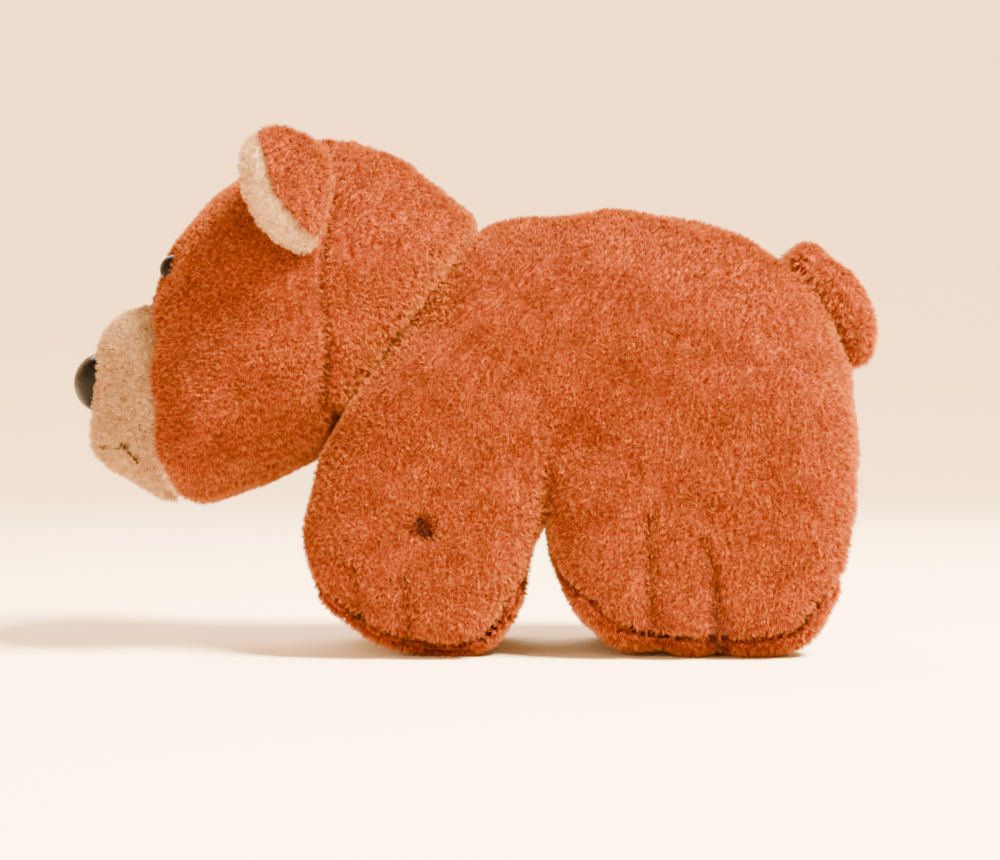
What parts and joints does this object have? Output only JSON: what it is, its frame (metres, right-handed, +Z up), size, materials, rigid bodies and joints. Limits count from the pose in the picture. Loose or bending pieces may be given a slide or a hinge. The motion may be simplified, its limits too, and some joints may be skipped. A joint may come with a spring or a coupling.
{
  "type": "plush bear charm",
  "caption": "Palm-sized stuffed bear of short-pile brown plush, standing on all its feet with its head lowered, with a pale muzzle, plastic nose and eyes, and a flap tail. No ring or clip.",
  "frame": {"origin": "on the floor, under the middle of the bear's overall length and width", "axes": "+Z up, the bear faces -Y, +X is the bear's left"},
  "size_m": [0.0476, 0.0908, 0.0568],
  "materials": {
    "brown_plush": "short pile",
    "cream_plush": "short pile",
    "stuffing": "loose fibre",
    "nose_plastic": "gloss",
    "eye_plastic": "gloss",
    "washer_plastic": "matte",
    "brown_thread": "twisted thread",
    "dark_thread": "twisted thread"
  },
  "bodies": {
    "torso": {"body_side_left": "brown_plush", "body_side_right": "brown_plush", "inner_panel_left": "brown_plush", "inner_panel_right": "brown_plush", "body_stuffing": "stuffing", "toe_stitches_fore_left": "brown_thread", "toe_stitches_fore_right": "brown_thread", "toe_stitches_hind_left": "brown_thread", "toe_stitches_hind_right": "brown_thread", "paw_tack_left": "brown_thread", "paw_tack_right": "brown_thread"},
    "neck": {"neck_stitching": "brown_thread"},
    "head": {"face_left": "brown_plush", "face_right": "brown_plush", "head_back_left": "brown_plush", "head_back_right": "brown_plush", "muzzle": "cream_plush", "mouth_stitch": "dark_thread", "nose": "nose_plastic", "nose_washer": "washer_plastic", "eye_left": "eye_plastic", "eye_right": "eye_plastic", "eye_washer_left": "washer_plastic", "eye_washer_right": "washer_plastic", "head_stuffing": "stuffing"},
    "left_ear": {"ear_front_left": "cream_plush", "ear_back_left": "brown_plush"},
    "right_ear": {"ear_front_right": "cream_plush", "ear_back_right": "brown_plush"},
    "tail": {"tail_outer": "brown_plush", "tail_inner": "brown_plush"}
  },
  "joints": [
    {"name": "neck_nod", "type": "hinge", "parent": "torso", "child": "neck", "pos_m": [0, -0.0074, 0.0358], "axis": [1, 0, 0], "range_deg": [-8, 8], "stiffness_Nm_per_rad": 0.05},
    {"name": "neck_turn", "type": "hinge", "parent": "neck", "child": "head", "pos_m": [0, -0.0074, 0.0358], "axis": [0, 0.5793, 0.8151], "range_deg": [-8, 8], "stiffness_Nm_per_rad": 0.05},
    {"name": "left_ear_fold", "type": "hinge", "parent": "head", "child": "left_ear", "pos_m": [0.01628, -0.01597, 0.0496], "axis": [0.5422, 0, -0.8402], "range_deg": [-55, 20], "stiffness_Nm_per_rad": 0.0005},
    {"name": "right_ear_fold", "type": "hinge", "parent": "head", "child": "right_ear", "pos_m": [-0.01628, -0.01597, 0.0496], "axis": [0.5422, 0, 0.8402], "range_deg": [-55, 20], "stiffness_Nm_per_rad": 0.0005},
    {"name": "tail_lift", "type": "hinge", "parent": "torso", "child": "tail", "pos_m": [0, 0.03754, 0.0452], "axis": [1, 0, 0], "range_deg": [0, 70], "stiffness_Nm_per_rad": 0.0005}
  ]
}
